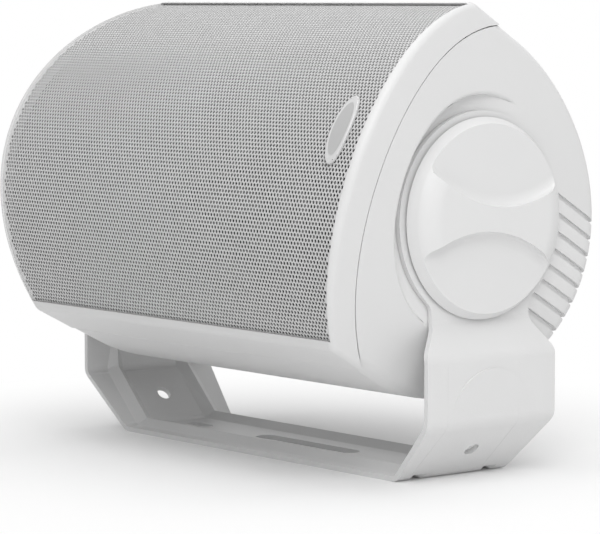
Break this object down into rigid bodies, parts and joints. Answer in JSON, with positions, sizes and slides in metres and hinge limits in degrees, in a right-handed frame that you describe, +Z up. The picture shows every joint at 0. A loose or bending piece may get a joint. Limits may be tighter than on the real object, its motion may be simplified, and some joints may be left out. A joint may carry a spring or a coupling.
{
  "type": "outdoor patio speaker",
  "caption": "White two-way outdoor speaker with a curved perforated grille, tilting between clamp knobs in a folded U bracket for wall or ceiling mounting.",
  "frame": {"origin": "bottom centre of the bracket's base, midway between its two fixing slots", "axes": "+X along the speaker towards the end seen at the right, -Y is the grille's side, +Z up"},
  "size_m": [0.227, 0.1391, 0.1759],
  "materials": {
    "white_housing": "fine matt moulded white plastic",
    "white_grille": "powder-coated perforated sheet",
    "badge": "plain pale oval, satin",
    "white_bracket": "powder-coated pressed steel",
    "white_knob": "moulded white plastic",
    "black_rubber": "soft rubber",
    "cone": "filled polypropylene",
    "spider_cloth": "resin-treated cloth",
    "dark_steel": "black painted steel",
    "steel": "zinc plated",
    "ferrite": "ceramic magnet",
    "copper": "enamelled copper wire",
    "black_plastic": "black moulded plastic",
    "board": "circuit board",
    "brass": "bright brass",
    "red_plastic": "red cap",
    "dark_plastic": "black cap",
    "wadding": "polyester fibre",
    "wire": "insulated copper pair"
  },
  "bodies": {
    "bracket": {"bracket": "white_bracket"},
    "speaker": {"baffle_gasket": "black_rubber", "baffle_screws": "steel", "crossover_board": "board", "crossover_capacitors": "black_plastic", "crossover_coil": "copper", "crossover_screws": "steel", "damping_pad": "wadding", "front_baffle": "white_housing", "grille": "white_grille", "grille_badge": "badge", "left_insert": "brass", "negative_post": "brass", "positive_post": "brass", "rear_cabinet": "white_housing", "right_insert": "brass", "terminal_cup": "black_plastic", "terminal_screws": "steel", "terminal_wires": "wire", "tweeter_dome": "spider_cloth", "tweeter_faceplate": "black_plastic", "tweeter_magnet": "dark_steel", "tweeter_screws": "steel", "tweeter_wires": "wire", "woofer_basket": "dark_steel", "woofer_gasket": "black_rubber", "woofer_magnet": "ferrite", "woofer_pole_plate": "steel", "woofer_screws": "steel", "woofer_spider": "spider_cloth", "woofer_surround": "black_rubber", "woofer_top_plate": "steel", "woofer_wires": "wire"},
    "right_washer": {"right_washer": "black_rubber"},
    "left_washer": {"left_washer": "black_rubber"},
    "right_knob": {"right_knob": "white_knob", "right_stud": "steel"},
    "left_knob": {"left_knob": "white_knob", "left_stud": "steel"},
    "cone": {"woofer_cone": "cone", "woofer_dust_cap": "cone", "woofer_voice_coil": "copper"},
    "positive_cap": {"positive_cap": "red_plastic"},
    "negative_cap": {"negative_cap": "dark_plastic"}
  },
  "joints": [
    {"name": "tilt", "type": "hinge", "parent": "bracket", "child": "speaker", "pos_m": [0, 0, 0.0971], "axis": [-1, 0, 0], "range_deg": [-3, 120]},
    {"name": "right_knob_travel", "type": "slide", "parent": "speaker", "child": "right_washer", "axis": [1, 0, 0], "range_m": [0, 0.00256]},
    {"name": "right_knob_turn", "type": "hinge", "parent": "right_washer", "child": "right_knob", "pos_m": [0.1, 0, 0.0971], "axis": [1, 0, 0], "range_deg": [0, 720]},
    {"name": "left_knob_travel", "type": "slide", "parent": "speaker", "child": "left_washer", "axis": [-1, 0, 0], "range_m": [0, 0.00256]},
    {"name": "left_knob_turn", "type": "hinge", "parent": "left_washer", "child": "left_knob", "pos_m": [-0.1, 0, 0.0971], "axis": [-1, 0, 0], "range_deg": [0, 720]},
    {"name": "cone_travel", "type": "slide", "parent": "speaker", "child": "cone", "axis": [0, -0.8788, 0.4772], "range_m": [-0.004, 0.004], "stiffness_N_per_m": 1000, "deforming": ["woofer_surround", "woofer_spider"]},
    {"name": "positive_cap_turn", "type": "hinge", "parent": "speaker", "child": "positive_cap", "pos_m": [0.011, 0.03981, 0.07548], "axis": [0, 0.8788, -0.4772], "range_deg": [0, 720]},
    {"name": "negative_cap_turn", "type": "hinge", "parent": "speaker", "child": "negative_cap", "pos_m": [-0.011, 0.03981, 0.07548], "axis": [0, 0.8788, -0.4772], "range_deg": [0, 720]}
  ],
  "couplings": [
    {"joint": "right_knob_travel", "follows": "right_knob_turn", "m_per_rad": 0.00020213},
    {"joint": "left_knob_travel", "follows": "left_knob_turn", "m_per_rad": 0.00020213}
  ]
}
